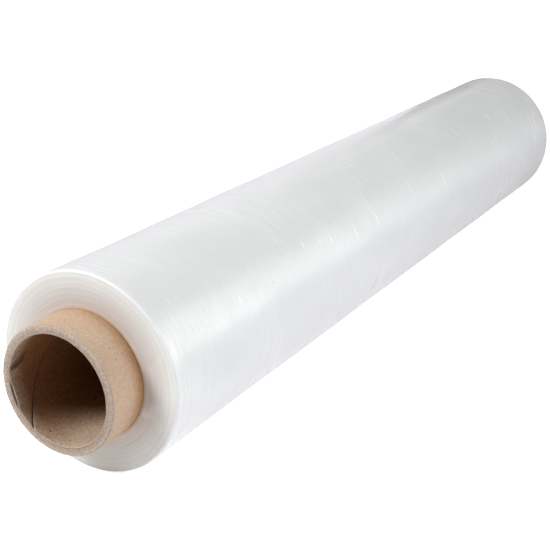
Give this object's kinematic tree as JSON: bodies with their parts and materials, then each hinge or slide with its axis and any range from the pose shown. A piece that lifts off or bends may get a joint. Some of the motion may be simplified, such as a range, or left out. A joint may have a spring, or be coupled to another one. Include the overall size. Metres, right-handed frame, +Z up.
{
  "type": "stretch wrap roll",
  "caption": "Hand roll of clear stretch film, wound on a spirally wound paper tube that stands out at both ends, lying on its side.",
  "frame": {"origin": "on the surface that the roll rests on, below the middle of its length", "axes": "+Y along the roll, from its near end with the torn mouth to its far end, +X across it, +Z up"},
  "size_m": [0.092, 0.54, 0.0915],
  "materials": {
    "core": "matt",
    "film": "gloss"
  },
  "bodies": {
    "root": {"core_tube": "core", "film_roll": "film"}
  },
  "joints": []
}
